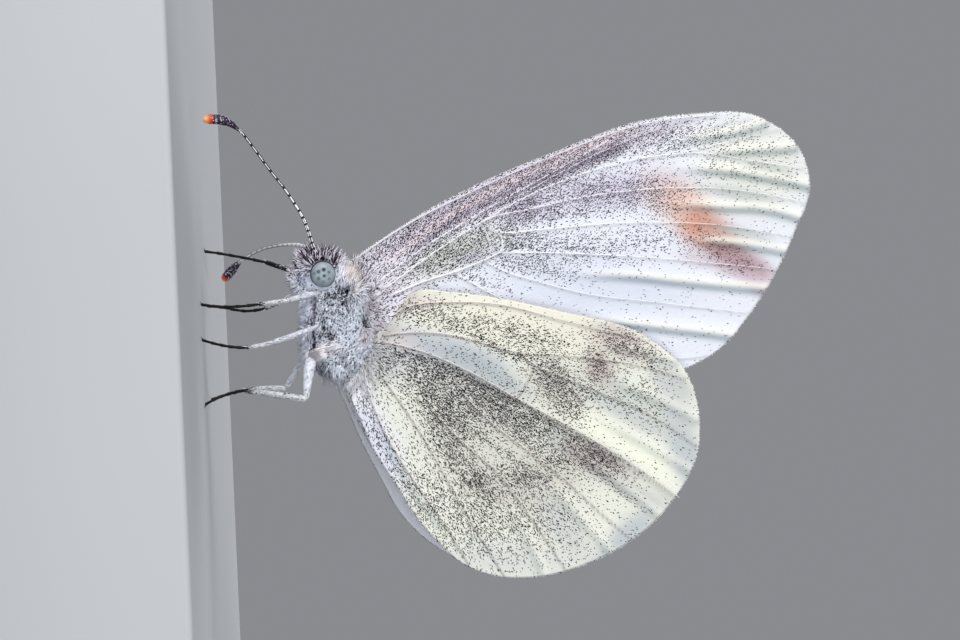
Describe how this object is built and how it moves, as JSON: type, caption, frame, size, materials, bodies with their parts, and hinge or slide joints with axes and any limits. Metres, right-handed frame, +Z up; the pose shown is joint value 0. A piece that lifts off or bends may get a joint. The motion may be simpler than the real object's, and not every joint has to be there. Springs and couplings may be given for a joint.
{
  "type": "wood white butterfly",
  "caption": "Life-size model of a wood white butterfly at rest: wings closed upright over its back, slender legs standing on a flat surface, feelers forward.",
  "frame": {"origin": "on the floor below the centre of the bounding box, with the feet's flats at Z = 0", "axes": "+Z up along the closed wings, head towards -X, the animal's left side towards -Y"},
  "size_m": [0.023, 0.0118, 0.0297],
  "materials": {
    "body_hair": "soft pale lavender-white hair and scales flecked with black, matte",
    "eye": "smooth blue-grey-green compound eye with dark spots and a black rim",
    "antenna": "black ringed with white, purple-black club with an orange tip",
    "forewing_scales": "powdery white with grey dusting, cream veins and a salmon patch near the tip, matte",
    "hindwing_scales": "powdery cream-white with heavy grey-brown dusting, matte",
    "leg": "white-scaled legs with black feet"
  },
  "bodies": {
    "root": {"abdomen": "body_hair", "antenna_left": "antenna", "antenna_right": "antenna", "eye_left": "eye", "eye_right": "eye", "forewing_left": "forewing_scales", "forewing_right": "forewing_scales", "head": "body_hair", "hindwing_left": "hindwing_scales", "hindwing_right": "hindwing_scales", "leg_fore_left": "leg", "leg_fore_right": "leg", "leg_hind_left": "leg", "leg_hind_right": "leg", "leg_mid_left": "leg", "leg_mid_right": "leg", "palp_left": "body_hair", "palp_right": "body_hair", "thorax": "body_hair"}
  },
  "joints": []
}
